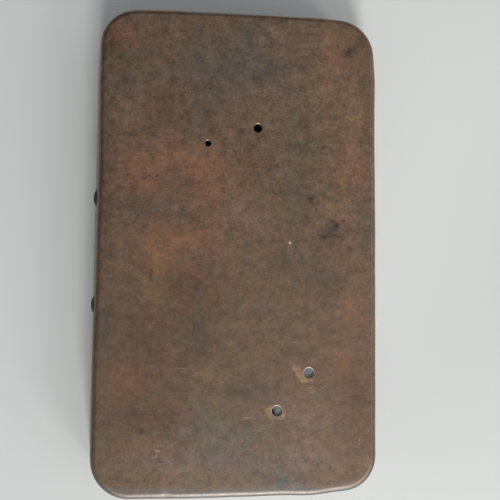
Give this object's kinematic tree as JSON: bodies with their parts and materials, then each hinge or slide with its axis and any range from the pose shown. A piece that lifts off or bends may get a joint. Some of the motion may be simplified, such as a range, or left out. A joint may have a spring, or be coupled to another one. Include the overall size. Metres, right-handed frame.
{
  "type": "kick plate",
  "caption": "Box-formed kick plate: rounded bronze cover with leaning skirts, two side screws, and a folded steel base plate with hook ears and support rails.",
  "frame": {"origin": "middle of the plate on the plane of the cover's rim, where it meets the door", "axes": "+Z out of the face away from the door, +Y up along the length of the face, +X to the right seen from the front"},
  "size_m": [0.1266, 0.2112, 0.03],
  "materials": {
    "cover": "dark brown patina on bronze, mottled and worn",
    "base_plate": "zinc plated, dull",
    "rail": "zinc plated, dull",
    "rivet": "plain",
    "screw": "black oxide",
    "clinch_nut": "zinc plated"
  },
  "bodies": {
    "root": {"cover": "cover", "base_plate": "base_plate", "left_rail": "rail", "right_rail": "rail", "rail_rivets": "rivet", "side_screws": "screw", "clinch_nuts": "clinch_nut"}
  },
  "joints": []
}
